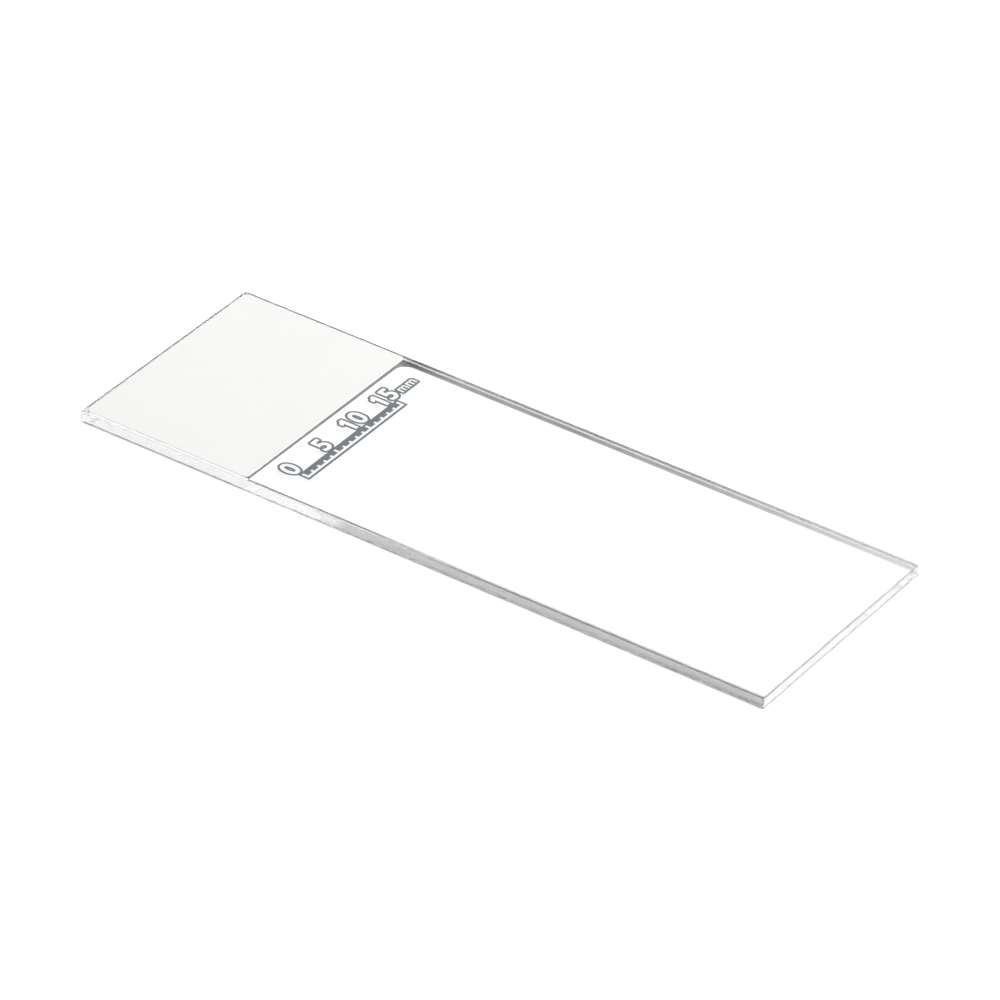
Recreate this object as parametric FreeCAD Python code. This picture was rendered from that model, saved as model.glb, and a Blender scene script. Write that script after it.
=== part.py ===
"""Microscope slide with a printed marking field at one end.

A plate of float glass, cut to the standard 76 x 26 mm, its edges ground square to its faces and its
sharp edges broken by a narrow bevel all round. At one end the top face carries a thin matt coat that
takes pencil and pen. The coat stops short of the plate's edges, so a narrow rim of bare glass stays
round it, and the rest of the top face is the clear field where the specimen goes.

Millimetres, +Z up. The origin is the centre of the underside. +X runs from the marked end to the plain
end, and +Y from the front long edge to the back one.
"""

import FreeCAD
import Part

import os

from FreeCAD import Vector

# Glass plate
LENGTH = 76.0  # along X
WIDTH = 26.0  # along Y
THICKNESS = 1.1  # of the drawn sheet
ARRIS = 0.12  # each leg of the 45-degree bevel between a ground edge and a face
UPRIGHT_RADIUS = 0.2  # of the four upright corners, eased on the grinding wheel

# Marking coat
FIELD_LENGTH = 19.0  # from the marked end to the coat's inner border
BARE_RIM = 0.25  # flat glass left bare between the bevel and the coat
COAT_THICKNESS = 0.03  # of the baked print
COAT_CORNER_RADIUS = 0.5  # of the coat's outline
COAT_SHOULDER = 0.015  # radius where the print's top rolls over into its edge

TINY = 1e-6  # for telling whether an edge lies in a plane


def upright_edges(solid):
    """The straight edges that run along Z."""
    found = []
    for edge in solid.Edges:
        start, end = edge.Vertexes[0].Point, edge.Vertexes[-1].Point
        moved = end - start
        if abs(moved.z) > TINY and abs(moved.x) + abs(moved.y) < TINY:
            found.append(edge)
    return found


def edges_at_height(solid, height):
    """The edges that lie wholly in the level plane at that height."""
    found = []
    for edge in solid.Edges:
        box = edge.BoundBox
        if abs(box.ZMin - height) < TINY and abs(box.ZMax - height) < TINY:
            found.append(edge)
    return found


def slab(x_low, x_high, y_low, y_high, z_low, thickness, corner_radius):
    """A rectangular slab with rounded upright corners."""
    block = Part.makeBox(x_high - x_low, y_high - y_low, thickness, Vector(x_low, y_low, z_low))
    return block.makeFillet(corner_radius, upright_edges(block)).Solids[0]


def make_plate():
    """The glass: cut to size, upright corners eased, then bevelled along both outlines."""
    blank = slab(-LENGTH / 2, LENGTH / 2, -WIDTH / 2, WIDTH / 2, 0.0, THICKNESS, UPRIGHT_RADIUS)
    outlines = edges_at_height(blank, 0.0) + edges_at_height(blank, THICKNESS)
    return blank.makeChamfer(ARRIS, outlines).Solids[0]


def make_coat():
    """The marking coat: printed on the plate's top face, with soft upper edges."""
    inset = ARRIS + BARE_RIM
    film = slab(
        -LENGTH / 2 + inset,
        -LENGTH / 2 + FIELD_LENGTH,
        -WIDTH / 2 + inset,
        WIDTH / 2 - inset,
        THICKNESS,
        COAT_THICKNESS,
        COAT_CORNER_RADIUS,
    )
    rim = edges_at_height(film, THICKNESS + COAT_THICKNESS)
    return film.makeFillet(COAT_SHOULDER, rim).Solids[0]


def imprint(plate, coat):
    """The plate with the coat's outline drawn on its top face, so that bare and coated glass are two faces."""
    _, pieces = plate.generalFuse([coat])
    return pieces[0][0]


def main():
    coat = make_coat()
    nodes = {
        "glass_plate": imprint(make_plate(), coat),
        "marking_coat": coat,
    }
    os.makedirs("parts", exist_ok=True)
    for name, shape in nodes.items():
        shape.exportStep(f"parts/{name}.step")
        print(f"{name}: {len(shape.Solids)} solid, {len(shape.Faces)} faces, {shape.Volume:.3f} mm3")


main()
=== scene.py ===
"""Microscope slide: the detailed model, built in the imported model's frame.

Ground and bevelled glass, a screen-printed marking coat, a printed millimetre scale, and a pale stage
to look at them on. Everything is in metres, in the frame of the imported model: +X runs from the marked
end to the plain end, +Y from the front long edge to the back one, +Z up, with the underside at zero.
"""

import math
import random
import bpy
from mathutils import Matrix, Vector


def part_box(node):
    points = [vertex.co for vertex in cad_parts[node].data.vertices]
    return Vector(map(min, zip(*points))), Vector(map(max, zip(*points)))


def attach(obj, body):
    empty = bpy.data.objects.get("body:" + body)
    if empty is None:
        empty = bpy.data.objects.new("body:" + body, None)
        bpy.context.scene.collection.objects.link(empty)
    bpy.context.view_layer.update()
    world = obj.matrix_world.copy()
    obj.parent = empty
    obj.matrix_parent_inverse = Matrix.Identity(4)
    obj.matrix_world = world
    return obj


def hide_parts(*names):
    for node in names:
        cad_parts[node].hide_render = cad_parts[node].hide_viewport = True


bl_info = {
    "name": "Microscope slide",
    "version": (1, 0, 0),
    "blender": (4, 5, 0),
    "location": "3D View > Sidebar > Slide",
    "description": "Builds a glass microscope slide with ground edges, a marking coat and a printed scale",
    "category": "Object",
}

from collections import namedtuple

import bpy
from bpy.props import FloatProperty, FloatVectorProperty, IntProperty, PointerProperty
from bpy.types import Operator, Panel, PropertyGroup
from mathutils import Matrix, Vector
from mathutils.geometry import delaunay_2d_cdt

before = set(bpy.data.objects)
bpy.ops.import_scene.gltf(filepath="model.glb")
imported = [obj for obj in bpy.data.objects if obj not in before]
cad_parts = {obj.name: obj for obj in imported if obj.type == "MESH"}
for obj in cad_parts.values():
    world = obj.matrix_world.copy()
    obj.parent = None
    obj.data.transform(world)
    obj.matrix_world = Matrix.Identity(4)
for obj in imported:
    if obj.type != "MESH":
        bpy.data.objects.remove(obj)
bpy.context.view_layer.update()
GLASS_LOW, GLASS_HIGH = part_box("glass_plate")
COAT_LOW, COAT_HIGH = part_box("marking_coat")

MM = 0.001


# ------------------------ settings


LENGTH = {"subtype": "DISTANCE", "unit": "LENGTH"}
FACTOR = {"subtype": "FACTOR", "min": 0.0, "max": 1.0}
COLOUR = {"subtype": "COLOR", "min": 0.0, "max": 1.0}
POWER = {"subtype": "POWER", "unit": "POWER", "min": 0.0}


class SlideGlassSettings(PropertyGroup):
    """Sizes and finish of the glass plate."""

    bevel: FloatProperty(
        name="Bevel",
        description="Leg of the 45-degree bevel that breaks each sharp edge",
        default=0.12 * MM,
        **LENGTH,
    )
    bevel_waver: FloatProperty(
        name="Bevel waver",
        description="How far the ground bevel's width wanders along an edge",
        default=0.012 * MM,
        **LENGTH,
    )
    corner_radius: FloatProperty(
        name="Corner radius",
        description="Radius of the four eased upright corners",
        default=0.2 * MM,
        **LENGTH,
    )
    flake_count: IntProperty(
        name="Flakes",
        description="Number of tiny shell-shaped flakes that grinding broke out of the bevels",
        default=26,
        min=0,
    )
    ground_roughness: FloatProperty(
        name="Ground roughness",
        description="Roughness of the ground edges",
        default=0.13,
        **FACTOR,
    )
    bevel_roughness: FloatProperty(
        name="Bevel roughness",
        description="Roughness of the bevels, which a coarser wheel cuts",
        default=0.45,
        **FACTOR,
    )
    ground_colour: FloatVectorProperty(
        name="Ground colour",
        description="Colour of the ground edges and bevels, where fine cracks scatter the light",
        default=(0.95, 0.955, 0.96),
        **COLOUR,
    )
    colour: FloatVectorProperty(
        name="Glass colour",
        description="Colour of the glass, very nearly water white",
        default=(0.993, 0.997, 0.998),
        **COLOUR,
    )


class SlideCoatSettings(PropertyGroup):
    """Sizes and finish of the marking coat."""

    colour: FloatVectorProperty(
        name="Coat colour",
        description="Colour of the baked marking enamel",
        default=(0.88, 0.88, 0.863),
        **COLOUR,
    )
    corner_radius: FloatProperty(
        name="Corner radius",
        description="Radius of the printed field's corners",
        default=0.5 * MM,
        **LENGTH,
    )
    tooth_pitch: FloatProperty(
        name="Tooth pitch",
        description="Spacing of the steps that the printing screen's threads leave along the border",
        default=0.11 * MM,
        **LENGTH,
    )
    tooth_depth: FloatProperty(
        name="Tooth depth",
        description="Depth of those steps",
        default=0.012 * MM,
        **LENGTH,
    )
    bead_height: FloatProperty(
        name="Bead height",
        description="How far the print's rim stands above the middle of the field",
        default=0.004 * MM,
        **LENGTH,
    )


class SlideScaleSettings(PropertyGroup):
    """Sizes and inks of the printed millimetre scale."""

    white: FloatVectorProperty(
        name="White ink",
        description="Colour of the numerals and strokes",
        default=(0.92, 0.92, 0.91),
        **COLOUR,
    )
    slate: FloatVectorProperty(
        name="Slate ink",
        description="Colour of the outline round the numerals and strokes",
        default=(0.175, 0.19, 0.21),
        **COLOUR,
    )
    numeral_height: FloatProperty(
        name="Numeral height",
        description="Height of the numerals",
        default=1.9 * MM,
        **LENGTH,
    )
    outline_width: FloatProperty(
        name="Outline width",
        description="Width of the slate outline",
        default=0.24 * MM,
        **LENGTH,
    )
    last_mark: IntProperty(
        name="Last mark",
        description="Length of the scale in millimetres",
        default=15,
        min=1,
    )


class SlideStageSettings(PropertyGroup):
    """Floor and light."""

    floor_colour: FloatVectorProperty(
        name="Floor colour",
        description="Colour of the floor",
        default=(0.72, 0.72, 0.72),
        **COLOUR,
    )
    floor_glow: FloatProperty(
        name="Floor glow",
        description="Brightness that the camera sees added to the floor",
        default=0.6,
        min=0.0,
    )
    glass_glow: FloatProperty(
        name="Floor glow in glass",
        description="Brightness that gloss and glass see added to the floor under the slide",
        default=0.5,
        min=0.0,
    )
    top_power: FloatProperty(
        name="Top light",
        description="Power of the soft light overhead",
        default=0.92,
        **POWER,
    )
    key_power: FloatProperty(
        name="Key light",
        description="Power of the soft light behind the back long edge",
        default=3.85,
        **POWER,
    )
    fill_power: FloatProperty(
        name="Fill light",
        description="Power of the soft light that faces the plain end",
        default=2.4,
        **POWER,
    )


# ------------------------ shapes


NEAR = 0.004 * MM  # places along an outline that are closer than this count as one
FILL_GAP = 1e-7  # in millimetres: corners closer than this are joined when loops are filled
JOIN_GAP = 1e-5  # the same when overlapping polygons are joined
SLIVER = 1e-6  # twice the area, in square millimetres, of a triangle too thin to test
LOOP_STEP = 0.002 * MM  # least spacing of the points on a printed border
LOOP_BOW = 0.0002 * MM  # least that a point on it stands off a straight run
SOFT_TURN = 25.0  # faces that meet at a smaller angle, in degrees, are shaded as one


class Outline:
    """A rectangle with rounded corners, walked anticlockwise from the start of its front edge."""

    def __init__(self, low, high, radius):
        self.radius = radius
        x0, x1, y0, y1 = low[0], high[0], low[1], high[1]
        corners = (
            (x1 - radius, y0 + radius, -90.0),
            (x1 - radius, y1 - radius, 0.0),
            (x0 + radius, y1 - radius, 90.0),
            (x0 + radius, y0 + radius, 180.0),
        )
        sides = (x1 - x0 - 2 * radius, y1 - y0 - 2 * radius) * 2
        self.legs = []
        self.length = 0.0
        for (x, y, start), side in zip(corners, sides, strict=True):
            arc = radius * math.pi / 2
            self.legs.append((side, arc, Vector((x, y)), math.radians(start)))
            self.length += side + arc

    def at(self, way):
        """The point that far along, and the outward normal there."""
        way %= self.length
        for side, arc, centre, start in self.legs:
            if way < side:
                normal = Vector((math.cos(start), math.sin(start)))
                along = Vector((-normal.y, normal.x))
                return centre + normal * self.radius - along * (side - way), normal
            way -= side
            if way < arc:
                turn = start + way / self.radius
                normal = Vector((math.cos(turn), math.sin(turn)))
                return centre + normal * self.radius, normal
            way -= arc
        return self.at(0.0)

    def corner_ways(self, steps):
        """Places along the four rounded corners, ends included."""
        ways, done = [], 0.0
        for side, arc, _, _ in self.legs:
            done += side
            ways += [done + arc * k / steps for k in range(steps + 1)]
            done += arc
        return ways


def spread(length, step, more=()):
    """Places along a closed way, evenly spaced, with others added and near-doubles dropped."""
    count = round(length / step)
    ways = sorted([length * k / count for k in range(count)] + [w % length for w in more])
    kept = []
    for way in ways:
        if not kept or way - kept[-1] > NEAR:
            kept.append(way)
    return kept


def ripple(seed, length, waves, size):
    """A smooth closed wander along a way: a sum of waves that repeats after that length."""
    draw = random.Random(seed)
    parts = [(n, draw.uniform(0.4, 1.0), draw.uniform(0.0, math.tau)) for n in waves]
    total = sum(weight for _, weight, _ in parts)

    def wander(way):
        turn = math.tau * way / length
        return size * sum(w * math.sin(n * turn + p) for n, w, p in parts) / total

    return wander


def neighbours(first, count):
    """The pairs of neighbours on a closed ring of points, which are numbered from first."""
    return [(first + k, first + (k + 1) % count) for k in range(count)]


def in_millimetres(loops):
    """The loops' points, flat and in millimetres, a size that joining and filling work well in."""
    return [[Vector((p[0] / MM, p[1] / MM)) for p in loop] for loop in loops]


def numbered(loops):
    """All the loops' points in one list, and each loop as numbers in it."""
    points, numbers = [], []
    for loop in loops:
        numbers.append(list(range(len(points), len(points) + len(loop))))
        points += loop
    return points, numbers


def filled(loops):
    """Triangles that fill closed loops of points, as (corner numbers, the loops each lies in)."""
    points, faces = numbered(in_millimetres(loops))
    _, _, triangles, sources, _, insides = delaunay_2d_cdt(points, [], faces, 1, FILL_GAP)
    pairs = zip(triangles, insides, strict=True)
    return [([sources[v][0] for v in triangle], set(inside)) for triangle, inside in pairs]


def goes_round(corners, point):
    """Whether a flat polygon goes round a point."""
    inside = False
    for a, b in zip(corners, corners[1:] + corners[:1], strict=True):
        if (a.y > point.y) != (b.y > point.y):
            if point.x < a.x + (point.y - a.y) * (b.x - a.x) / (b.y - a.y):
                inside = not inside
    return inside


def covered(polygons, triangle, points, within):
    """Whether a triangle of the sheet lies in one of the polygons it is said to lie in."""
    a, b, c = (points[v] for v in triangle)
    if abs((b - a).cross(c - a)) < SLIVER:
        return bool(within)
    middle = (a + b + c) / 3.0
    return any(goes_round(polygons[number], middle) for number in within)


def merged(polygons):
    """Overlapping flat polygons joined to one sheet: its points and its border edges."""
    flat = in_millimetres(polygons)
    points, faces = numbered(flat)
    found, _, triangles, _, _, insides = delaunay_2d_cdt(points, [], faces, 1, JOIN_GAP)
    edges = {}
    for triangle, inside in zip(triangles, insides, strict=True):
        if covered(flat, triangle, found, inside):
            for edge in zip(triangle, triangle[1:] + triangle[:1], strict=True):
                edges[edge] = True
    border = [(a, b) for a, b in edges if (b, a) not in edges]
    return [Vector((p.x * MM, p.y * MM)) for p in found], border


def loops_round(points, border):
    """The closed loops that the border edges make, without the points that shape nothing."""
    after = {}
    for start, end in border:
        after.setdefault(start, []).append(end)
    loops = []
    while after:
        corner = next(iter(after))
        loop = []
        while corner in after:
            loop.append(points[corner])
            onward = after[corner].pop()
            if not after[corner]:
                del after[corner]
            corner = onward
        loops.append(plain_loop(loop))
    return [loop for loop in loops if len(loop) > 2]


def plain_loop(loop):
    """A closed loop without its crowded points and those on a straight run."""
    spaced = []
    for place in loop:
        if not spaced or (place - spaced[-1]).length > LOOP_STEP:
            spaced.append(place)
    while len(spaced) > 1 and (spaced[0] - spaced[-1]).length <= LOOP_STEP:
        spaced.pop()
    kept = []
    for k, place in enumerate(spaced):
        onward = spaced[(k + 1) % len(spaced)] - (kept[-1] if kept else spaced[k - 1])
        if abs(onward.normalized().cross(place - spaced[k - 1])) > LOOP_BOW:
            kept.append(place)
    return kept


def in_scene(name, data):
    """A new object, linked to the scene."""
    made = bpy.data.objects.new(name, data)
    bpy.context.scene.collection.objects.link(made)
    return made


def mesh_piece(name, vertices, faces, materials, kinds=None, soft_turn=SOFT_TURN):
    """A mesh object in the row frame, with a material number for each face."""
    mesh = bpy.data.meshes.new(name)
    mesh.from_pydata([tuple(v) for v in vertices], [], faces)
    for material in materials:
        mesh.materials.append(material)
    if kinds is not None:
        mesh.polygons.foreach_set("material_index", kinds)
    mesh.validate()
    mesh.shade_smooth()
    mesh.set_sharp_from_angle(angle=math.radians(soft_turn))
    mesh.update()
    return in_scene(name, mesh)


# ------------------------ node helpers


def emptied(owner):
    """The node tree of a material or world, emptied."""
    owner.use_nodes = True
    owner.node_tree.nodes.clear()
    return owner.node_tree


def node(tree, kind, inputs=(), **settings):
    """A new node with its settings. Inputs, by name or number, are outputs to link or plain values."""
    made = tree.nodes.new(kind)
    for name, value in settings.items():
        setattr(made, name, value)
    for place, value in dict(inputs).items():
        if isinstance(value, bpy.types.NodeSocket):
            tree.links.new(value, made.inputs[place])
        else:
            made.inputs[place].default_value = value
    return made


def maths(tree, operation, *values):
    """A Math node's output. Values are numbers or outputs."""
    return node(tree, "ShaderNodeMath", enumerate(values), operation=operation).outputs[0]


def rising(tree, value, low, high):
    """0 below low, 1 above high, and smooth between."""
    inputs = {"Value": value, "From Min": low, "From Max": high}
    return node(tree, "ShaderNodeMapRange", inputs, interpolation_type="SMOOTHSTEP").outputs[0]


def between(tree, value, low, high):
    """A value from 0 to 1 spread between low and high, which are numbers or outputs."""
    inputs = {"Value": value, "To Min": low, "To Max": high}
    return node(tree, "ShaderNodeMapRange", inputs).outputs[0]


def object_millimetres(tree, stretch=(1.0, 1.0, 1.0)):
    """The place on the object in millimetres, stretched for streaky textures."""
    where = node(tree, "ShaderNodeTexCoord").outputs["Object"]
    factors = [s / MM for s in stretch]
    return node(tree, "ShaderNodeVectorMath", {0: where, 1: factors}, operation="MULTIPLY").outputs[0]


def noise(tree, where, scale, detail, roughness=0.5):
    """A noise texture, from 0 to 1."""
    inputs = {"Vector": where, "Scale": scale, "Detail": detail, "Roughness": roughness}
    return node(tree, "ShaderNodeTexNoise", inputs).outputs["Fac"]


def colour_mix(tree, share, first, second):
    """A share of the way from the first colour to the second."""
    inputs = {0: share, 6: (*first, 1.0), 7: (*second, 1.0)}
    return node(tree, "ShaderNodeMix", inputs, data_type="RGBA").outputs[2]


def new_group(name, inputs, outputs):
    """A shader node group with inputs (name: default value) and outputs. Only "Colour" is a colour."""
    group = bpy.data.node_groups.new(name, "ShaderNodeTree")
    for way, labels in (("INPUT", inputs), ("OUTPUT", outputs)):
        for label in labels:
            kind = "NodeSocketColor" if label == "Colour" else "NodeSocketFloat"
            socket = group.interface.new_socket(label, in_out=way, socket_type=kind)
            if way == "INPUT":
                socket.default_value = inputs[label]
    return group, node(group, "NodeGroupInput").outputs


# ------------------------ materials


GLASS_IOR = 1.52
EDGE_CLEAR = 0.92  # share of the light that goes through the ground edges
BEVEL_CLEAR = 0.8  # and through the coarser bevels
GRINDING = (0.25, 0.25, 14.0)  # stretches grain into level lines along the edges
WIPING = (0.06, 0.9, 0.9)  # stretches grain into streaks along the slide
SOAK = 0.9  # share of the light that soaks through the enamel's first layer
BOND = 0.002 * MM  # depth of the enamel's bond with the glass
WARM_WHITE = (1.0, 1.0, 0.99, 1.0)

# Each print's mottle, grains in a millimetre, roughness, and depth of tooth
ENAMEL = (0.03, 9.0, 0.62, 0.004 * MM)
ENAMEL_ON_GLASS = (0.02, 9.0, 0.8, 0.002 * MM)
SLATE_INK = (0.05, 12.0, 0.5, 0.002 * MM)
WHITE_INK = (0.02, 12.0, 0.5, 0.002 * MM)


def print_tooth_group():
    """Fine tooth and mottle of a baked print. Shared by the enamel and the two inks."""
    name = "Print tooth"
    if name in bpy.data.node_groups:
        return bpy.data.node_groups[name]
    inputs = {"Colour": (0.9, 0.9, 0.9, 1.0), "Mottle": 0.03, "Grain Scale": 9.0, "Roughness": 0.6}
    group, given = new_group(name, inputs, ("Colour", "Roughness", "Height"))
    where = object_millimetres(group)
    grain = noise(group, where, scale=given["Grain Scale"], detail=3.0)
    cloud = noise(group, where, scale=0.35, detail=3.0, roughness=0.6)
    shade = maths(group, "MULTIPLY", maths(group, "SUBTRACT", cloud, 0.5), given["Mottle"])
    fine = maths(group, "MULTIPLY", given["Mottle"], 0.7)
    fleck = maths(group, "MULTIPLY", maths(group, "SUBTRACT", grain, 0.5), fine)
    level = maths(group, "ADD", maths(group, "ADD", shade, fleck), 1.0)
    tint = {0: given["Colour"], "Scale": level}
    colour = node(group, "ShaderNodeVectorMath", tint, operation="SCALE").outputs[0]
    rough = maths(group, "ADD", given["Roughness"], maths(group, "MULTIPLY", fleck, 2.0))
    node(group, "NodeGroupOutput", {"Colour": colour, "Roughness": rough, "Height": grain})
    return group


def wiped_group():
    """Faint wiping marks on glass. Shared by the clear and the ground glass."""
    name = "Wiped glass"
    if name in bpy.data.node_groups:
        return bpy.data.node_groups[name]
    group, given = new_group(name, {"Roughness": 0.0, "Marks": 0.01}, ("Roughness",))
    streaks = noise(group, object_millimetres(group, WIPING), scale=0.8, detail=4.0, roughness=0.6)
    marks = between(group, streaks, 0.0, given["Marks"])
    node(group, "NodeGroupOutput", {"Roughness": maths(group, "ADD", given["Roughness"], marks)})
    return group


def wiped(tree, roughness, marks):
    """A roughness with wiping marks in it."""
    inputs = {"Roughness": roughness, "Marks": marks}
    return node(tree, "ShaderNodeGroup", inputs, node_tree=wiped_group()).outputs["Roughness"]


def new_material(name):
    """A material and its node tree, which is still empty."""
    material = bpy.data.materials.new(name)
    return material, emptied(material)


def finished(material, shader):
    """The material, with that shader as its surface."""
    node(material.node_tree, "ShaderNodeOutputMaterial", {"Surface": shader.outputs[0]})
    return material


def mixed(tree, share, first, second):
    """A share of the way from the first shader to the second."""
    return node(tree, "ShaderNodeMixShader", {0: share, 1: first.outputs[0], 2: second.outputs[0]})


def bumps(tree, height, strength, distance):
    """The normal of a bumpy surface."""
    inputs = {"Height": height, "Strength": strength, "Distance": distance}
    return node(tree, "ShaderNodeBump", inputs).outputs[0]


def clear_glass():
    """The drawn faces: clear, with the faintest wiping marks."""
    material, tree = new_material("Drawn glass")
    inputs = {
        "Base Color": (*bpy.context.scene.slide_glass.colour, 1.0),
        "Roughness": wiped(tree, roughness=0.0, marks=0.012),
        "IOR": GLASS_IOR,
        "Transmission Weight": 1.0,
    }
    return finished(material, node(tree, "ShaderNodeBsdfPrincipled", inputs))


def ground_glass(name, roughness, clear):
    """Ground glass, satin, with fine grinding lines along it."""
    material, tree = new_material(name)
    light = bpy.context.scene.slide_glass.ground_colour
    dark = [0.97 * c for c in light]
    grit = noise(tree, object_millimetres(tree), scale=26.0, detail=2.0)
    lines = noise(tree, object_millimetres(tree, GRINDING), scale=2.2, detail=4.0, roughness=0.6)
    rough = maths(tree, "ADD", wiped(tree, roughness, marks=0.03), between(tree, lines, -0.03, 0.03))
    inputs = {
        "Base Color": colour_mix(tree, grit, dark, light),
        "Roughness": rough,
        "IOR": GLASS_IOR,
        "Transmission Weight": clear,
        "Normal": bumps(tree, lines, strength=0.02, distance=0.01 * MM),
    }
    return finished(material, node(tree, "ShaderNodeBsdfPrincipled", inputs))


def print_shader(tree, colour, finish):
    """A baked print: matt, with a fine tooth."""
    mottle, grain, roughness, tooth = finish
    inputs = {"Colour": (*colour, 1.0), "Mottle": mottle, "Grain Scale": grain, "Roughness": roughness}
    surface = node(tree, "ShaderNodeGroup", inputs, node_tree=print_tooth_group()).outputs
    inputs = {
        "Base Color": surface["Colour"],
        "Roughness": surface["Roughness"],
        "Specular IOR Level": 0.35,
        "Normal": bumps(tree, surface["Height"], strength=0.35, distance=tooth),
    }
    return node(tree, "ShaderNodeBsdfPrincipled", inputs)


def marking_enamel():
    """The coat's enamel. Light that has entered it goes on to the glass, through its back and its bond."""
    material, tree = new_material("Marking enamel")
    enamel = print_shader(tree, bpy.context.scene.slide_coat.colour, ENAMEL)
    where = node(tree, "ShaderNodeTexCoord").outputs["Object"]
    height = node(tree, "ShaderNodeSeparateXYZ", {0: where}).outputs["Z"]
    bond = maths(tree, "LESS_THAN", height, COAT_LOW.z + BOND)
    back = node(tree, "ShaderNodeNewGeometry").outputs["Backfacing"]
    onward = maths(tree, "MAXIMUM", back, bond)
    return finished(material, mixed(tree, onward, enamel, node(tree, "ShaderNodeBsdfTransparent")))


def enamel_seen_through_glass():
    """The enamel's first layer, seen through the glass it is baked on: white, and it lets light soak in."""
    material, tree = new_material("Enamel on glass")
    enamel = print_shader(tree, bpy.context.scene.slide_coat.colour, ENAMEL_ON_GLASS)
    soak = node(tree, "ShaderNodeBsdfTranslucent", {"Color": WARM_WHITE})
    return finished(material, mixed(tree, SOAK, enamel, soak))


def thin_ink(name, colour, finish, let_through):
    """A printed ink a few thousandths thick, so that some light gets through to the glass."""
    material, tree = new_material(name)
    ink = print_shader(tree, colour, finish)
    within = node(tree, "ShaderNodeLightPath").outputs["Is Transmission Ray"]
    share = maths(tree, "MULTIPLY", within, let_through)
    return finished(material, mixed(tree, share, ink, node(tree, "ShaderNodeBsdfTransparent")))


# ------------------------ the printed border


THREAD_SEED = 11
DRIFT_SEED = 12
DRIFT_WAVES = (3, 5, 9, 17, 31)
DRIFT = 0.35  # how far the border drifts, as a share of a tooth's depth
LEAST_TOOTH, TOOTH_RANGE = 0.4, 0.6  # the teeth's depths, as shares of the deepest


def coat_border():
    """The coat's outline, as (place, outward normal, inset). The insets are the screen threads' steps."""
    coat = bpy.context.scene.slide_coat
    depth, pitch = coat.tooth_depth, coat.tooth_pitch
    outline = Outline(COAT_LOW, COAT_HIGH, coat.corner_radius)
    draw = random.Random(THREAD_SEED)
    steps = round(outline.length / pitch)
    notch = [draw.uniform(0.0, 1.0) for _ in range(steps)]
    drift = ripple(DRIFT_SEED, outline.length, DRIFT_WAVES, DRIFT * depth)
    points = []
    for way in spread(outline.length, pitch / 4):
        place, normal = outline.at(way)
        phase = way / pitch
        tooth = 0.5 - 0.5 * math.cos(math.tau * phase)
        share = LEAST_TOOTH + TOOTH_RANGE * tooth * notch[int(phase) % steps]
        points.append((place, normal, max(depth * share + drift(way), 0.0)))
    return points


# ------------------------ the glass plate


DRAWN, EDGE, COATED, BEVEL = range(4)  # the plate's materials, by number
ABOVE, BELOW = range(2)  # the bevels, by the face that they border
BEVEL_RIPPLES = (  # seed and waves, above and below
    (1, (2, 3, 7, 11, 19, 37, 71, 140)),
    (2, (2, 5, 8, 13, 23, 41, 83, 150)),
)
BEVEL_ROWS = 4  # points down a bevel
WHEEL_ROWS = 4  # points down the ground edge between the bevels
WHEEL_SEED = 20
WHEEL_WAVES = (4, 9, 21, 57, 113)
WHEEL_MARK = 0.0005 * MM  # depth of the marks that the wheel leaves along the edge
EDGE_STEP = 0.4 * MM
CORNER_STEPS = 8
FLAKE_SEED = 5
FLAKE_STEPS = 6
FLAKE_HALF = (0.05, 0.2)  # half of a flake's length, in millimetres
FLAKE_DEPTH = (0.25, 0.5)  # its depth, as a share of that half
DEEPEST_FLAKE = 0.5  # as a share of the bevel

Flake = namedtuple("Flake", "way half depth face rim")


def broken_flakes(length, count, bevel):
    """Tiny shell-shaped flakes, scattered along the bevels and on their inner and outer rims."""
    draw = random.Random(FLAKE_SEED)
    flakes = []
    for _ in range(count):
        way = draw.uniform(0.0, length)
        half = draw.uniform(*FLAKE_HALF) * MM
        depth = min(half * draw.uniform(*FLAKE_DEPTH), DEEPEST_FLAKE * bevel)
        flakes.append(Flake(way, half, depth, draw.choice((ABOVE, BELOW)), draw.choice(("in", "out"))))
    return flakes


def flaked(way, length, flakes, face, rim):
    """How deep the flakes cut that far along, on that face's bevel, at that rim."""
    deepest = 0.0
    for flake in flakes:
        off = abs((way - flake.way + length / 2) % length - length / 2)
        if (flake.face, flake.rim) == (face, rim) and off < flake.half:
            deepest = max(deepest, flake.depth * math.sqrt(1.0 - (off / flake.half) ** 2))
    return deepest


def bevel_profile(width, inner, outer):
    """Four points down one bevel, from the face to the edge, as (inset, depth). Flakes hollow it out."""
    dent = 0.35 * (inner + outer)
    return (
        (width + inner, 0.0),
        (width * 0.7 + inner * 0.5 + dent * 0.4, width * 0.3 + dent * 0.5),
        (width * 0.35 + dent * 0.5, width * 0.65 + dent * 0.4 + outer * 0.5),
        (0.0, width + outer),
    )


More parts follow.
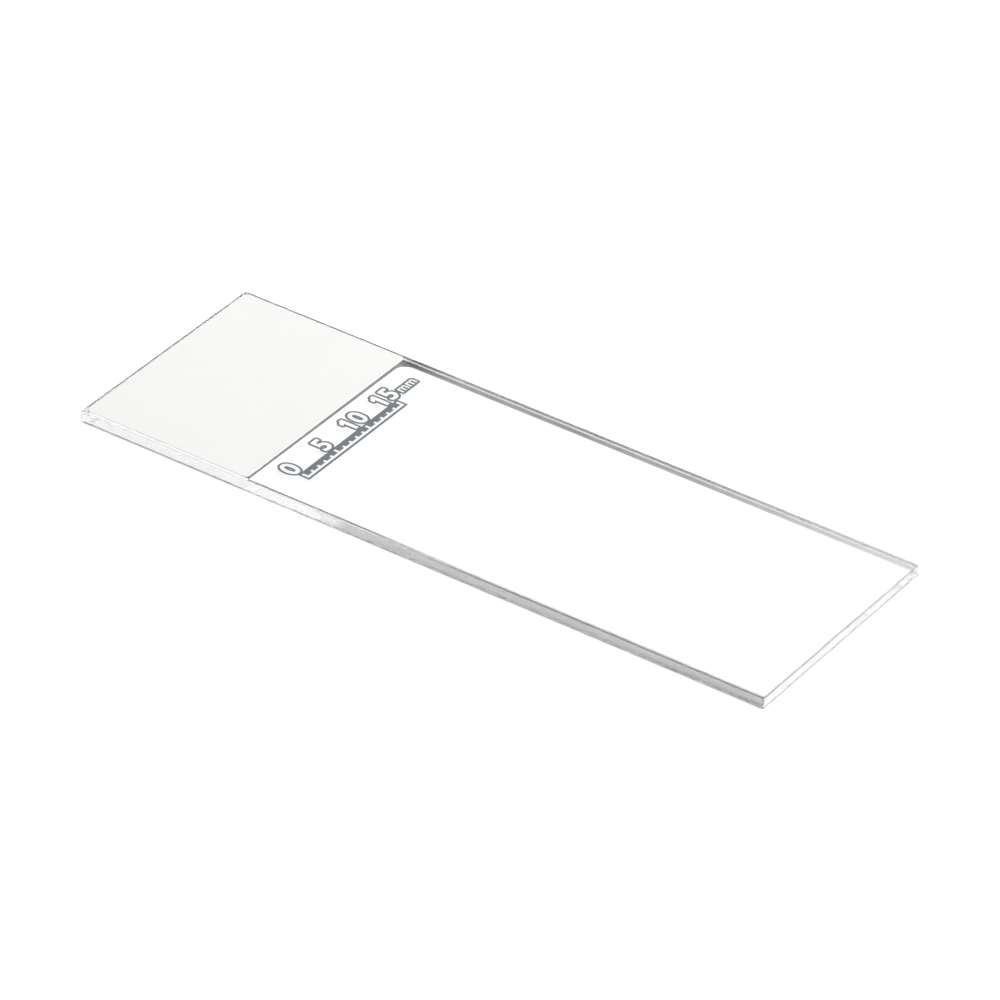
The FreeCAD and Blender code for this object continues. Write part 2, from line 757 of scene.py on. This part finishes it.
def glass_rings(glass):
    """Upright cuts round the plate: each goes down the upper bevel, the ground edge and the lower bevel."""
    outline = Outline(GLASS_LOW, GLASS_HIGH, glass.corner_radius)
    length = outline.length
    flakes = broken_flakes(length, glass.flake_count, glass.bevel)
    fine = outline.corner_ways(CORNER_STEPS)
    for flake in flakes:
        fine += [flake.way + flake.half * k / FLAKE_STEPS for k in range(-FLAKE_STEPS, FLAKE_STEPS + 1)]
    wavers = [ripple(seed, length, waves, glass.bevel_waver) for seed, waves in BEVEL_RIPPLES]
    wheel = [ripple(WHEEL_SEED + k, length, WHEEL_WAVES, WHEEL_MARK) for k in range(WHEEL_ROWS)]
    rings = []
    for way in spread(length, EDGE_STEP, fine):
        bevels = []
        for face, height, up in ((ABOVE, GLASS_HIGH.z, 1.0), (BELOW, GLASS_LOW.z, -1.0)):
            inner = flaked(way, length, flakes, face, "in")
            outer = flaked(way, length, flakes, face, "out")
            profile = bevel_profile(glass.bevel + wavers[face](way), inner, outer)
            bevels.append([(inset, height - up * depth) for inset, depth in profile])
        upper, lower = bevels
        z_high, z_low = upper[-1][1], lower[-1][1]
        edge = []
        for k, wander in enumerate(wheel):
            share = (k + 1) / (WHEEL_ROWS + 1)
            edge.append((WHEEL_MARK + wander(way), z_high + (z_low - z_high) * share))
        place, normal = outline.at(way)
        rings.append([(*(place - normal * inset), z) for inset, z in upper + edge + lower[::-1]])
    return rings


def build_glass():
    glass = bpy.context.scene.slide_glass
    rings = glass_rings(glass)
    count, rows = len(rings), len(rings[0])
    vertices = [ring[row] for row in range(rows) for ring in rings]
    faces, kinds = [], []
    for row in range(rows - 1):
        kind = EDGE if BEVEL_ROWS - 1 <= row < rows - BEVEL_ROWS else BEVEL
        for a, b in neighbours(row * count, count):
            faces.append((a, a + count, b + count, b))
            kinds.append(kind)
    under_coat = [(*(place - normal * inset), GLASS_HIGH.z) for place, normal, inset in coat_border()]
    numbers = [*range(count), *range(len(vertices), len(vertices) + len(under_coat))]
    vertices += under_coat
    for corners, inside in filled([vertices[:count], under_coat]):
        faces.append([numbers[c] for c in corners])
        kinds.append(COATED if 1 in inside else DRAWN)
    last = (rows - 1) * count
    for corners, _ in filled([vertices[last : last + count]]):
        faces.append([last + c for c in reversed(corners)])
        kinds.append(DRAWN)
    materials = [
        clear_glass(),
        ground_glass("Ground edge", glass.ground_roughness, EDGE_CLEAR),
        enamel_seen_through_glass(),
        ground_glass("Ground bevel", glass.bevel_roughness, BEVEL_CLEAR),
    ]
    piece = mesh_piece("glass_slide", vertices, faces, materials, kinds)
    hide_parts("glass_plate")
    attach(piece, "root")


# ------------------------ the marking coat


COAT_GAP = 0.0005 * MM  # keeps the coat's underside off the glass
COAT_HEADROOM = 0.0002 * MM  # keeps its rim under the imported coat's top
SWELL_SEED = 31
SWELL_WAVES = (2, 5, 11, 23)
SWELL = 0.0006 * MM  # how far the print's thickness wanders
TOOTH_FADE = 0.12 * MM  # how far in the border's teeth die out
COAT_SOFT_TURN = 40.0  # in place of SOFT_TURN


def build_coat():
    coat = bpy.context.scene.slide_coat
    base = COAT_LOW.z + COAT_GAP
    top = COAT_HIGH.z - COAT_HEADROOM
    rows = (  # how far in, how high, and how much of the swell the print has there
        (0.0, base, 0.0),
        (0.001 * MM, base + 0.45 * (top - base), 1.0),
        (0.006 * MM, base + 0.8 * (top - base), 1.0),
        (0.018 * MM, top - 0.0015 * MM, 1.0),
        (0.045 * MM, top, 0.0),
        (0.09 * MM, top - 0.35 * coat.bead_height, 1.0),
        (0.2 * MM, top - coat.bead_height, 1.0),
    )
    border = coat_border()
    swell = ripple(SWELL_SEED, 1.0, SWELL_WAVES, SWELL)
    count = len(border)
    vertices, faces = [], []
    for depth, z, share in rows:
        fade = max(0.0, 1.0 - depth / TOOTH_FADE)
        for k, (place, normal, inset) in enumerate(border):
            point = place - normal * (inset * fade + depth)
            vertices.append((point.x, point.y, z + share * swell(k / count)))
    for row in range(len(rows) - 1):
        faces += [(a, b, b + count, a + count) for a, b in neighbours(row * count, count)]
    last = (len(rows) - 1) * count
    faces += [[last + c for c in corners] for corners, _ in filled([vertices[last:]])]
    faces += [corners[::-1] for corners, _ in filled([vertices[:count]])]
    piece = mesh_piece("marking_field", vertices, faces, [marking_enamel()], soft_turn=COAT_SOFT_TURN)
    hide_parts("marking_coat")
    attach(piece, "root")


# ------------------------ the printed scale


SCALE_AT = Vector((-14.6 * MM, -9.05 * MM))  # the zero mark's foot
INK_BASE = 0.0005 * MM  # gap under each layer of ink
SLATE_TOP = 0.006 * MM
WHITE_TOP = 0.012 * MM
SLATE_THROUGH, WHITE_THROUGH = 0.88, 0.94  # light that the inks let through to the glass
HALF_STROKE = 0.14 * MM  # of the ticks and the line under them
LONG_TICK, SHORT_TICK = 0.68 * MM, 0.42 * MM
NUMBER_EVERY = 5  # marks
NUMERAL_SHARE = 0.69  # a numeral's height as a share of its lettering's size
BOLD = 0.08 * MM  # how much the numerals are thickened all round
UNIT_SIZE = 1.6 * MM
UNIT_BOLD = 0.35 * BOLD
UNIT_GAP = 0.42 * MM  # between the last numeral and the unit
FLAG = ((0.05, 0.55), (0.05, 0.682), (-0.13, 0.57), (-0.13, 0.46))  # of a 1, for lettering of size 1
SMOOTH_TURN = math.radians(25.0)  # an outline that turns less is a curve
FAN_STEP = math.radians(15.0)  # spacing of the points round an outer corner


def lettering(text, size):
    """The filled polygons of a short text, centred on zero and standing on it. A leading 1 gets a flag."""
    curve = bpy.data.curves.new("lettering", "FONT")
    curve.body = text
    curve.size = 1.0
    curve.align_x = "CENTER"
    curve.resolution_u = 8
    curve.space_character = 1.03
    holder = in_scene("lettering", curve)
    bpy.context.view_layer.update()
    graph = bpy.context.evaluated_depsgraph_get()
    mesh = bpy.data.meshes.new_from_object(holder.evaluated_get(graph))
    points = [v.co.xy * size for v in mesh.vertices]
    polygons = [[points[v] for v in face.vertices] for face in mesh.polygons]
    bpy.data.objects.remove(holder)
    bpy.data.curves.remove(curve)
    bpy.data.meshes.remove(mesh)
    if text.startswith("1"):
        left = min(p.x for p in points)
        polygons.append([Vector((left + u * size, v * size)) for u, v in FLAG])
    return polygons


def thickened(polygons, reach):
    """Flat polygons grown all round by that reach, with round outer corners."""
    points, border = merged(polygons)
    before = {end: start for start, end in border}
    after = dict(border)

    def outward(start, end):
        along = points[end] - points[start]
        return math.atan2(-along.x, along.y)

    def turn_at(start, corner, end):
        turn = outward(corner, end) - outward(start, corner)
        return (turn + math.pi) % math.tau - math.pi

    def spoke(corner, angle, length):
        return points[corner] + Vector((math.cos(angle), math.sin(angle))) * length

    grown = list(polygons)
    for start, end in border:
        angle = outward(start, end)
        first = turn_at(before[start], start, end)
        last = turn_at(start, end, after[end])
        near, far = spoke(start, angle, reach), spoke(end, angle, reach)
        if 0.0 < first < SMOOTH_TURN:
            near = spoke(start, angle - first / 2, reach / math.cos(first / 2))
        if 0.0 < last < SMOOTH_TURN:
            far = spoke(end, angle + last / 2, reach / math.cos(last / 2))
        grown.append([points[end], points[start], near, far])
        if first >= SMOOTH_TURN:
            steps = math.ceil(first / FAN_STEP)
            fan = [spoke(start, angle - first + first * k / steps, reach) for k in range(steps + 1)]
            grown.append([points[start], *fan])
    return grown


def bar(u_low, u_high, v_low, v_high):
    """An upright rectangle, as one polygon."""
    return [Vector(p) for p in ((u_low, v_low), (u_high, v_low), (u_high, v_high), (u_low, v_high))]


def moved(polygons, x, y):
    """Polygons shifted by x and y."""
    return [[p + Vector((x, y)) for p in polygon] for polygon in polygons]


def scale_marks(grow):
    """Every polygon of the scale in its own flat frame: along it, and up towards the numerals.

    The white strokes don't grow. The slate behind them does, and it also fills in between the ticks.
    """
    scale = bpy.context.scene.slide_scale
    size = scale.numeral_height / NUMERAL_SHARE
    foot = LONG_TICK + 2.0 * scale.outline_width
    wide = HALF_STROKE + grow
    top = LONG_TICK + grow if grow > 0.0 else HALF_STROKE
    polygons = [bar(-wide, scale.last_mark * MM + wide, -wide, top)]
    for mark in range(scale.last_mark + 1):
        x = mark * MM
        tick = SHORT_TICK if mark % NUMBER_EVERY else LONG_TICK
        polygons.append(bar(x - wide, x + wide, 0.0, tick + grow))
        if mark % NUMBER_EVERY == 0:
            numeral = moved(thickened(lettering(str(mark), size), BOLD + grow), x, foot)
            polygons += numeral
    right = max(p.x for polygon in numeral for p in polygon) - grow
    unit = thickened(lettering("mm", UNIT_SIZE), UNIT_BOLD + grow)
    left = min(p.x for polygon in unit for p in polygon) + grow
    return polygons + moved(unit, right - left + UNIT_GAP, foot)


def ink_layer(name, polygons, low, high, material):
    """One printed layer: the joined polygons, given their thickness and laid across the slide."""
    loops = loops_round(*merged(polygons))
    vertices = []
    for z in (low, high):
        for loop in loops:
            vertices += [(SCALE_AT.x - p.y, SCALE_AT.y + p.x, GLASS_HIGH.z + z) for p in loop]
    count = len(vertices) // 2
    sheet = [corners for corners, inside in filled(loops) if len(inside) % 2]
    faces = [[c + count for c in corners] for corners in sheet]
    faces += [corners[::-1] for corners in sheet]
    first = 0
    for loop in loops:
        faces += [(a, b, b + count, a + count) for a, b in neighbours(first, len(loop))]
        first += len(loop)
    piece = mesh_piece(name, vertices, faces, [material])
    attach(piece, "root")


def build_scale():
    scale = bpy.context.scene.slide_scale
    slate = thin_ink("Slate ink", scale.slate, SLATE_INK, SLATE_THROUGH)
    white = thin_ink("White ink", scale.white, WHITE_INK, WHITE_THROUGH)
    outline, strokes = scale_marks(scale.outline_width), scale_marks(0.0)
    ink_layer("scale_outline", outline, INK_BASE, SLATE_TOP, slate)
    ink_layer("scale_numerals", strokes, SLATE_TOP + INK_BASE, WHITE_TOP, white)


# ------------------------ the floor


FLOOR_REACH = 2.0
FLOOR_DROP = 0.02 * MM  # how far the floor lies below the slide
# At full strength, the painted shade darkens the floor's colour to this share.
SHADE_LEVEL = 0.34  # colour of the full shade, as a share of the floor's own

# Patches of painted shade and painted glow on the floor, laid out under and round the slide: spans
# along and across the slide and width of the fading rim, all in millimetres, and strength.
END_X, END_Y = GLASS_HIGH.x / MM, GLASS_HIGH.y / MM
BORDER_X = COAT_HIGH.x / MM - 0.1  # just under the coat's inner border
COAT_SHADE = ((-END_X, BORDER_X), (-END_Y + 0.95, END_Y), 0.1, 1.0)  # all of the coat but its front rim
COAT_CORNER = ((-END_X - 1.0, -END_X + 0.5), (-END_Y, -END_Y + 1.5), 0.4, 1.0)  # left out of it
CORNER_SHADE = ((BORDER_X, 0.0), (END_Y - 2.0, END_Y), 0.1, 1.0)  # from the coat along the back edge
CORNER_FADE = (BORDER_X, BORDER_X + 6.0)
FRONT_SHADE = ((BORDER_X, END_X), (-END_Y + 0.64, -END_Y + 0.92), 0.06, 1.0)  # inside the front edge
FRONT_FADE = (-7.0, 5.0)
FRONT_LOSS = 0.7  # share of the front line that has faded after that
BACK_SHADE = ((-17.4, END_X), (END_Y + 0.1, END_Y + 2.2), 0.1, 0.5)  # behind the back edge
FOOT_SHADE = ((-9.0, END_X), (-END_Y - 0.03, -END_Y + 0.15), 0.06, 0.55)  # under the front bevel
STRIP_GLOW = ((BORDER_X, END_X), (END_Y - 1.0, END_Y), 0.1, 1.0)  # along the back edge
STRIP_RISE = (2.0, 52.0)
RIM_GLOW = ((-END_X + 0.5, BORDER_X), (-END_Y + 0.4, -END_Y + 0.95), 0.1, 1.0)  # at the coat's front
SPOT_GLOW = ((-21.5, -17.4), (END_Y, END_Y + 1.6), 0.3, 0.35)  # behind the back edge
FIELD_GLOW = ((BORDER_X, END_X + 2.0), (-END_Y - 1.5, END_Y - 0.7))  # under the clear field
FIELD_CORNER, FIELD_FADE = 1.3, 0.1  # its corners' radius and the width of its fading rim
LEAN = 0.005  # the patches beside the coat's border lean this much off square
SLANT = 0.663  # and the ends of those behind the back edge run aslant by this much
# The camera's glow on the floor fades out near the plate, which paints a contact shade.
CONTACT = ((-END_X + 0.3, END_X), (-END_Y, END_Y))  # the plate, short of its marked end
CONTACT_CORNER = 0.2
CONTACT_FADE = (0.0, 0.25)  # how far from it the contact shade begins and ends
FAR_FADE = (120.0, 450.0)  # distance over which the floor turns to plain white


def times(tree, one, other):
    """Two values multiplied. Of two masks, that is where both hold."""
    return maths(tree, "MULTIPLY", one, other)


def strongest(tree, mask, *others):
    """The largest of several masks."""
    for other in others:
        mask = maths(tree, "MAXIMUM", mask, other)
    return mask


def all_but(tree, mask):
    """A mask turned about: 1 where it is 0."""
    return maths(tree, "SUBTRACT", 1.0, mask)


def patch(tree, x, y, rectangle):
    """The mask of one of the patches above: its strength on the rectangle, and 0 elsewhere."""
    along, across, fade, strength = rectangle
    mask = strength
    for value, (low, high) in ((x, along), (y, across)):
        begun = rising(tree, value, low - fade / 2, low + fade / 2)
        ended = rising(tree, value, high - fade / 2, high + fade / 2)
        mask = times(tree, maths(tree, "SUBTRACT", begun, ended), mask)
    return mask


def way_past(tree, x, y, spans, radius):
    """How far past a rectangle with rounded corners, in millimetres: 0 on its outline."""
    outside = []
    for value, (low, high) in zip((x, y), spans, strict=True):
        off = maths(tree, "ABSOLUTE", maths(tree, "SUBTRACT", value, (low + high) / 2))
        past = maths(tree, "SUBTRACT", off, (high - low) / 2 - radius)
        outside.append(times(tree, maths(tree, "MAXIMUM", past, 0.0), past))
    return maths(tree, "SUBTRACT", maths(tree, "SQRT", maths(tree, "ADD", *outside)), radius)


def floor_masks(tree, x, y):
    """Where the floor has painted shade, and painted glow for light in glass. Both lie still round the
    slide.
    """
    leaning = maths(tree, "SUBTRACT", x, times(tree, y, LEAN))
    slanting = maths(tree, "ADD", x, times(tree, maths(tree, "SUBTRACT", y, END_Y), SLANT))
    past_field = way_past(tree, leaning, y, FIELD_GLOW, FIELD_CORNER)
    field = all_but(tree, rising(tree, past_field, -FIELD_FADE / 2, FIELD_FADE / 2))

    coat = patch(tree, leaning, y, COAT_SHADE)
    coat = times(tree, coat, all_but(tree, patch(tree, x, y, COAT_CORNER)))
    corner = times(tree, all_but(tree, rising(tree, leaning, *CORNER_FADE)), all_but(tree, field))
    corner = times(tree, corner, patch(tree, leaning, y, CORNER_SHADE))
    fading = times(tree, rising(tree, x, *FRONT_FADE), FRONT_LOSS)
    front = times(tree, patch(tree, leaning, y, FRONT_SHADE), all_but(tree, fading))
    back = patch(tree, slanting, y, BACK_SHADE)
    foot = patch(tree, x, y, FOOT_SHADE)
    strip = times(tree, patch(tree, leaning, y, STRIP_GLOW), rising(tree, x, *STRIP_RISE))
    rim = patch(tree, leaning, y, RIM_GLOW)
    spot = patch(tree, slanting, y, SPOT_GLOW)
    glow = times(tree, strongest(tree, field, strip, rim, spot), all_but(tree, front))
    return strongest(tree, coat, corner, front, back, foot), glow


def seen_rays(tree, direct, in_glass):
    """One strength for the camera's own rays, one for rays from gloss and through glass, 0 for the rest."""
    path = node(tree, "ShaderNodeLightPath").outputs
    shiny = maths(tree, "MAXIMUM", path["Is Glossy Ray"], path["Is Transmission Ray"])
    return maths(tree, "ADD", times(tree, path["Is Camera Ray"], direct), times(tree, shiny, in_glass))


def floor_material(stage):
    """A pale matt floor that glows to plain white, apart from the painted shade under and round the slide.
    """
    material, tree = new_material("Floor")
    where = object_millimetres(tree)
    place = node(tree, "ShaderNodeSeparateXYZ", {0: where}).outputs
    shade, glow = floor_masks(tree, place["X"], place["Y"])
    dark = [SHADE_LEVEL * c for c in stage.floor_colour]
    colour = colour_mix(tree, shade, stage.floor_colour, dark)
    matt = node(tree, "ShaderNodeBsdfDiffuse", {"Color": colour})
    past_plate = way_past(tree, place["X"], place["Y"], CONTACT, CONTACT_CORNER)
    direct = times(tree, rising(tree, past_plate, *CONTACT_FADE), stage.floor_glow)
    close_by = seen_rays(tree, direct, times(tree, glow, stage.glass_glow))
    distance = node(tree, "ShaderNodeVectorMath", {0: where}, operation="LENGTH").outputs["Value"]
    far = rising(tree, distance, *FAR_FADE)
    strength = node(tree, "ShaderNodeMix", {0: far, 2: close_by, 3: seen_rays(tree, 1.0, 1.0)})
    light = node(tree, "ShaderNodeEmission", {"Strength": strength.outputs[0]})
    return finished(material, node(tree, "ShaderNodeAddShader", {0: matt.outputs[0], 1: light.outputs[0]}))


def build_floor(stage):
    near, far = -FLOOR_REACH, FLOOR_REACH
    corners = [(near, near, 0.0), (far, near, 0.0), (far, far, 0.0), (near, far, 0.0)]
    floor = mesh_piece("floor", corners, [(0, 1, 2, 3)], [floor_material(stage)])
    floor.location.z = -FLOOR_DROP


# ------------------------ the camera and the light


CAMERA_AZIMUTH = math.radians(33.523)  # from straight in front, towards the plain end
CAMERA_ELEVATION = math.radians(34.337)
CAMERA_ROLL = math.radians(2.021)
CAMERA_DISTANCE = 666.912 * MM
CAMERA_TARGET = Vector((1.656 * MM, -1.517 * MM, 1.1 * MM))
CAMERA_LENS = 261.55
CAMERA_FILM = 36.0

TOP_PLACE = (0.05, 0.05, 0.55)
TOP_SIZE = (0.5, 0.5)
KEY_BEARING = math.radians(14.0)  # from +Y towards +X
KEY_ELEVATION = math.radians(38.0)
KEY_SIZE = (0.35, 0.25)
FILL_BEARING = math.radians(5.0)  # from +X towards +Y
FILL_ELEVATION = math.radians(8.0)
FILL_SIZE = (0.3, 0.2)
FILL_TARGET = (0.03, 0.0, 0.0)
LAMP_DISTANCE = 0.6
MIDDLE = (0.0, 0.0, 0.0)
WORLD_STOPS = ((0.0, 0.8), (0.1, 0.55), (0.3, 0.1), (0.6, 0.08), (1.0, 0.25))  # level to straight up
WHITE = (1.0, 1.0, 1.0, 1.0)


def build_camera():
    data = bpy.data.cameras.new("camera")
    data.sensor_width = CAMERA_FILM
    data.lens = CAMERA_LENS
    data.clip_start = 0.01
    camera = in_scene("camera", data)
    across, along = math.cos(CAMERA_AZIMUTH), math.sin(CAMERA_AZIMUTH)
    level = math.cos(CAMERA_ELEVATION)
    back = Vector((along * level, -across * level, math.sin(CAMERA_ELEVATION)))
    right = Vector((across, along, 0.0))
    up = back.cross(right)
    turned = math.cos(CAMERA_ROLL) * right + math.sin(CAMERA_ROLL) * up
    upright = math.cos(CAMERA_ROLL) * up - math.sin(CAMERA_ROLL) * right
    axes = Matrix((turned, upright, back)).transposed().to_4x4()
    axes.translation = CAMERA_TARGET + back * CAMERA_DISTANCE
    camera.matrix_world = axes
    bpy.context.scene.camera = camera


def soft_light(name, place, target, size, power):
    """A rectangular soft lamp that faces its target, unseen by the camera."""
    data = bpy.data.lights.new(name, "AREA")
    data.shape = "RECTANGLE"
    data.size, data.size_y = size
    data.energy = power
    lamp = in_scene(name, data)
    lamp.location = place
    lamp.rotation_mode = "QUATERNION"
    lamp.rotation_quaternion = (Vector(target) - Vector(place)).to_track_quat("-Z", "Y")
    lamp.visible_camera = False


def build_lights(stage):
    key = Vector((math.sin(KEY_BEARING), math.cos(KEY_BEARING), math.tan(KEY_ELEVATION)))
    fill = Vector((math.cos(FILL_BEARING), math.sin(FILL_BEARING), math.tan(FILL_ELEVATION)))
    key_place, fill_place = key.normalized() * LAMP_DISTANCE, fill.normalized() * LAMP_DISTANCE
    soft_light("top light", TOP_PLACE, MIDDLE, TOP_SIZE, stage.top_power)
    soft_light("key light", key_place, MIDDLE, KEY_SIZE, stage.key_power)
    soft_light("fill light", fill_place, FILL_TARGET, FILL_SIZE, stage.fill_power)


def build_world():
    """A grey room that lights the slide, which the camera itself sees as plain white."""
    world = bpy.data.worlds.new("Studio")
    bpy.context.scene.world = world
    tree = emptied(world)
    way = node(tree, "ShaderNodeTexCoord").outputs["Generated"]
    height = node(tree, "ShaderNodeSeparateXYZ", {0: way}).outputs["Z"]
    ramp = node(tree, "ShaderNodeValToRGB", {"Fac": height})
    stops = ramp.color_ramp.elements
    while len(stops) < len(WORLD_STOPS):
        stops.new(0.5)
    for stop, (place, level) in zip(stops, WORLD_STOPS, strict=True):
        stop.position = place
        stop.color = (level, level, level, 1.0)
    room = node(tree, "ShaderNodeBackground", {"Color": ramp.outputs["Color"]})
    white = node(tree, "ShaderNodeBackground", {"Color": WHITE})
    seen = node(tree, "ShaderNodeLightPath").outputs["Is Camera Ray"]
    node(tree, "ShaderNodeOutputWorld", {"Surface": mixed(tree, seen, room, white).outputs[0]})


def build_stage():
    scene = bpy.context.scene
    stage = scene.slide_stage
    build_camera()
    build_floor(stage)
    build_world()
    build_lights(stage)
    scene.view_settings.view_transform = "Standard"
    scene.cycles.blur_glossy = 0.0
    scene.cycles.max_bounces = 40
    scene.cycles.glossy_bounces = 40
    scene.cycles.transmission_bounces = 16


# ------------------------ the add-on


class SLIDE_OT_set_stage(Operator):
    """Sets up the floor, the soft light and the camera"""

    bl_idname = "slide.set_stage"
    bl_label = "Set the stage"

    def execute(self, context):
        build_stage()
        return {"FINISHED"}


class SLIDE_OT_build_glass(Operator):
    """Builds the ground and bevelled glass plate"""

    bl_idname = "slide.build_glass"
    bl_label = "Build the glass plate"

    def execute(self, context):
        build_glass()
        return {"FINISHED"}


class SLIDE_OT_build_coat(Operator):
    """Builds the screen-printed marking coat"""

    bl_idname = "slide.build_coat"
    bl_label = "Build the marking coat"

    def execute(self, context):
        build_coat()
        return {"FINISHED"}


class SLIDE_OT_print_scale(Operator):
    """Prints the millimetre scale beside the marking coat"""

    bl_idname = "slide.print_scale"
    bl_label = "Print the scale"

    def execute(self, context):
        build_scale()
        return {"FINISHED"}


class SLIDE_PT_pieces(Panel):
    """Lists the slide's pieces and their settings"""

    bl_label = "Microscope slide"
    bl_idname = "SLIDE_PT_pieces"
    bl_space_type = "VIEW_3D"
    bl_region_type = "UI"
    bl_category = "Slide"

    def draw(self, context):
        for operator, group, _ in STEPS:
            box = self.layout.box()
            box.operator(operator.bl_idname)
            settings = getattr(context.scene, group)
            for name in settings.bl_rna.properties.keys():
                if name not in ("rna_type", "name"):
                    box.prop(settings, name)


STEPS = (  # each operator, and the name and class of its settings
    (SLIDE_OT_set_stage, "slide_stage", SlideStageSettings),
    (SLIDE_OT_build_glass, "slide_glass", SlideGlassSettings),
    (SLIDE_OT_build_coat, "slide_coat", SlideCoatSettings),
    (SLIDE_OT_print_scale, "slide_scale", SlideScaleSettings),
)


def register():
    for operator, group, settings in STEPS:
        bpy.utils.register_class(settings)
        setattr(bpy.types.Scene, group, PointerProperty(type=settings))
        bpy.utils.register_class(operator)
    bpy.utils.register_class(SLIDE_PT_pieces)


def unregister():
    bpy.utils.unregister_class(SLIDE_PT_pieces)
    for operator, group, settings in reversed(STEPS):
        bpy.utils.unregister_class(operator)
        delattr(bpy.types.Scene, group)
        bpy.utils.unregister_class(settings)


def main():
    register()
    bpy.ops.slide.set_stage()
    bpy.ops.slide.build_glass()
    bpy.ops.slide.build_coat()
    bpy.ops.slide.print_scale()


if __name__ == "__main__":
    main()
